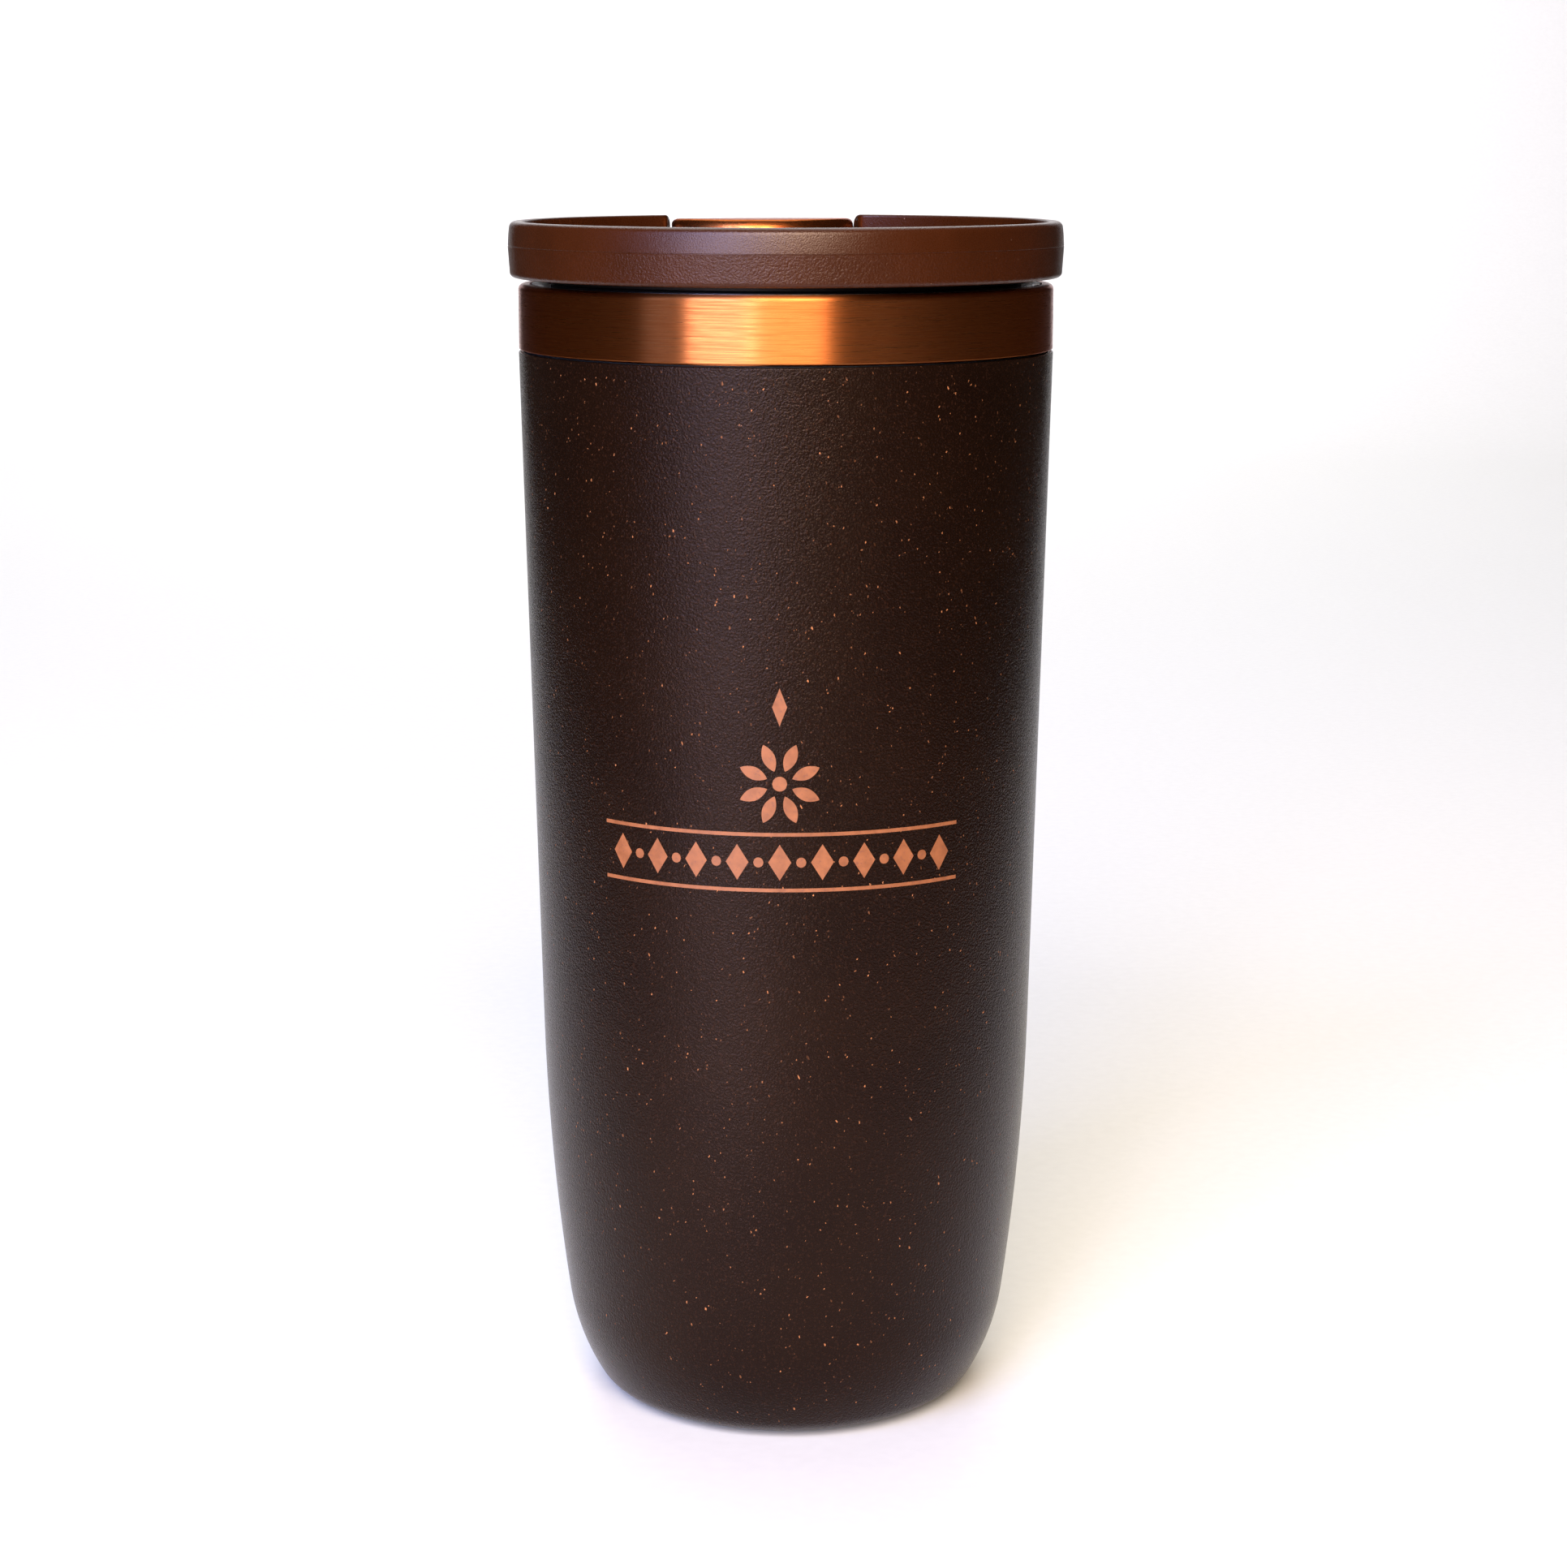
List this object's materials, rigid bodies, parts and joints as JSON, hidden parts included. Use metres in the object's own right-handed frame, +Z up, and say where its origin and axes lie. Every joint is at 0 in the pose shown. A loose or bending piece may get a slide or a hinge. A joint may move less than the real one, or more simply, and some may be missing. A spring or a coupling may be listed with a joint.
{
  "type": "insulated tumbler with lid",
  "caption": "Double-walled steel travel tumbler in a speckled composite sleeve, with a press-in gasketed lid and a hinged tab over the sip hole.",
  "frame": {"origin": "centre of the foot pad's underside, on the surface the tumbler stands on", "axes": "+Z up along the tumbler's axis; +Y towards the thumb pad in the lid's rim, which is the side one drinks from; +X along the tab's hinge"},
  "size_m": [0.085, 0.085, 0.1862],
  "materials": {
    "foot_pad": "matte silicone",
    "sleeve": "speckled bio-composite, fine grain",
    "collar_seal": "matte silicone",
    "base_cushion": "closed-cell foam",
    "outer_tube": "copper-tinted, brushed round the collar",
    "outer_base": "pressed stainless steel",
    "vacuum_seal": "fused glass bead",
    "getter": "sintered pill",
    "radiation_foil": "bright copper foil",
    "liner_tube": "electropolished stainless steel",
    "liner_base": "electropolished stainless steel",
    "lid_cover": "satin brown polypropylene",
    "lid_plug": "black polypropylene",
    "lid_gasket": "silicone",
    "deck_gasket": "silicone",
    "sip_gasket": "silicone",
    "hinge_pin": "ground stainless steel",
    "tab_lever": "satin brown polypropylene",
    "tab_plate": "copper-tinted, brushed",
    "thumb_pad": "copper-tinted, brushed",
    "sip_seal": "silicone",
    "vent_seal": "silicone"
  },
  "bodies": {
    "vessel": {"foot_pad": "foot_pad", "sleeve": "sleeve", "collar_seal": "collar_seal", "base_cushion": "base_cushion", "outer_tube": "outer_tube", "outer_base": "outer_base", "vacuum_seal": "vacuum_seal", "getter": "getter", "radiation_foil": "radiation_foil", "liner_tube": "liner_tube", "liner_base": "liner_base"},
    "lid": {"lid_cover": "lid_cover", "lid_plug": "lid_plug", "lid_gasket": "lid_gasket", "deck_gasket": "deck_gasket", "sip_gasket": "sip_gasket", "hinge_pin": "hinge_pin"},
    "tab": {"tab_lever": "tab_lever", "tab_plate": "tab_plate", "thumb_pad": "thumb_pad", "sip_seal": "sip_seal", "vent_seal": "vent_seal"}
  },
  "joints": [
    {"name": "lid_lift", "type": "slide", "parent": "vessel", "child": "lid", "axis": [0, 0, 1], "range_m": [0, 0.06]},
    {"name": "tab_flip", "type": "hinge", "parent": "lid", "child": "tab", "pos_m": [0, -0.002, 0.1829], "axis": [1, 0, 0], "range_deg": [0, 105]}
  ]
}
